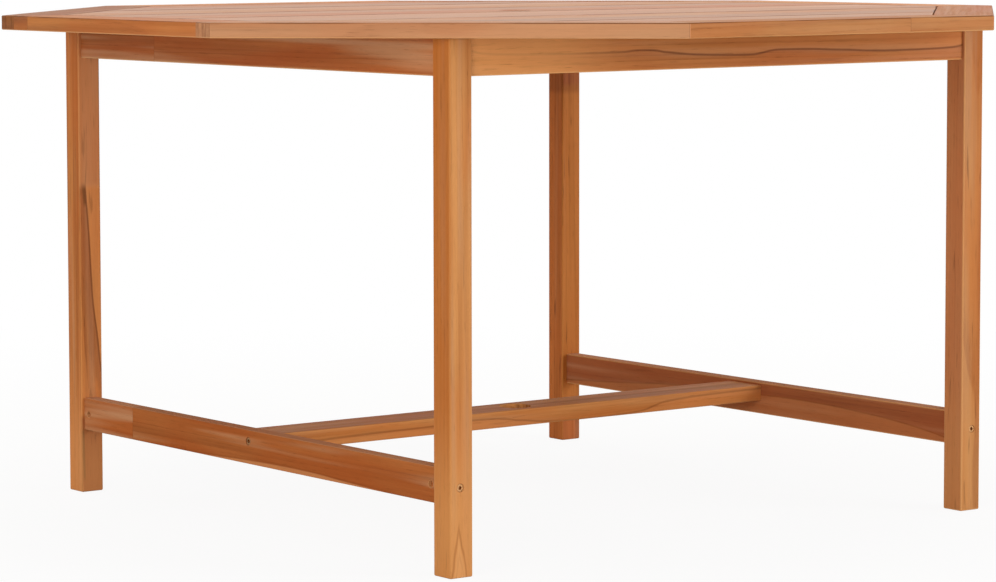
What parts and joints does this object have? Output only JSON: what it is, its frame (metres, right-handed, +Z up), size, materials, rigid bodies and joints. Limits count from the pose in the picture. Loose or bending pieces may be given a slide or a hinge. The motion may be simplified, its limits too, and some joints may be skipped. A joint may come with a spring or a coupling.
{
  "type": "octagonal garden dining table",
  "caption": "Octagonal slatted teak garden table on square legs, with aprons, an H of low stretchers and a parasol hole through the top and the flat centre stretcher.",
  "frame": {"origin": "on the floor, under the middle of the table and of its parasol hole", "axes": "+Z up; X along the planks of the top and the flat centre stretcher; Y along the two end stretchers, with the front apron on the -Y side"},
  "size_m": [1.47, 1.47, 0.75],
  "materials": {
    "teak_plank": "fine sanded teak, bare",
    "teak_rail": "fine sanded teak, bare",
    "teak_leg": "fine sanded teak, bare",
    "teak_apron": "fine sanded teak, bare, darker boards",
    "teak_inner": "planed teak, bare",
    "dowel_wood": "smooth hardwood dowel",
    "zinc_steel": "zinc plated steel"
  },
  "bodies": {
    "root": {"leg_front_left": "teak_leg", "leg_front_right": "teak_leg", "leg_back_left": "teak_leg", "leg_back_right": "teak_leg", "apron_front": "teak_apron", "apron_back": "teak_apron", "apron_left": "teak_apron", "apron_right": "teak_apron", "corner_block_front_left": "teak_inner", "corner_block_front_right": "teak_inner", "corner_block_back_left": "teak_inner", "corner_block_back_right": "teak_inner", "end_stretcher_left": "teak_leg", "end_stretcher_right": "teak_leg", "centre_stretcher": "teak_leg", "rail_front": "teak_rail", "rail_back": "teak_rail", "rail_left": "teak_rail", "rail_right": "teak_rail", "corner_rail_front_left": "teak_rail", "corner_rail_front_right": "teak_rail", "corner_rail_back_left": "teak_rail", "corner_rail_back_right": "teak_rail", "plank_1": "teak_plank", "plank_2": "teak_plank", "plank_3": "teak_plank", "plank_4": "teak_plank", "plank_5": "teak_plank", "centre_plank": "teak_plank", "plank_7": "teak_plank", "plank_8": "teak_plank", "plank_9": "teak_plank", "plank_10": "teak_plank", "plank_11": "teak_plank", "batten_left": "teak_inner", "batten_right": "teak_inner", "ledger_left": "teak_inner", "ledger_right": "teak_inner", "frame_dowels": "dowel_wood", "stretcher_dowels": "dowel_wood", "stretcher_bolts": "zinc_steel", "barrel_nuts": "zinc_steel", "hanger_bolts": "zinc_steel", "washers": "zinc_steel", "hex_nuts": "zinc_steel", "corner_block_screws": "zinc_steel", "ledger_screws": "zinc_steel", "plank_screws": "zinc_steel"}
  },
  "joints": []
}
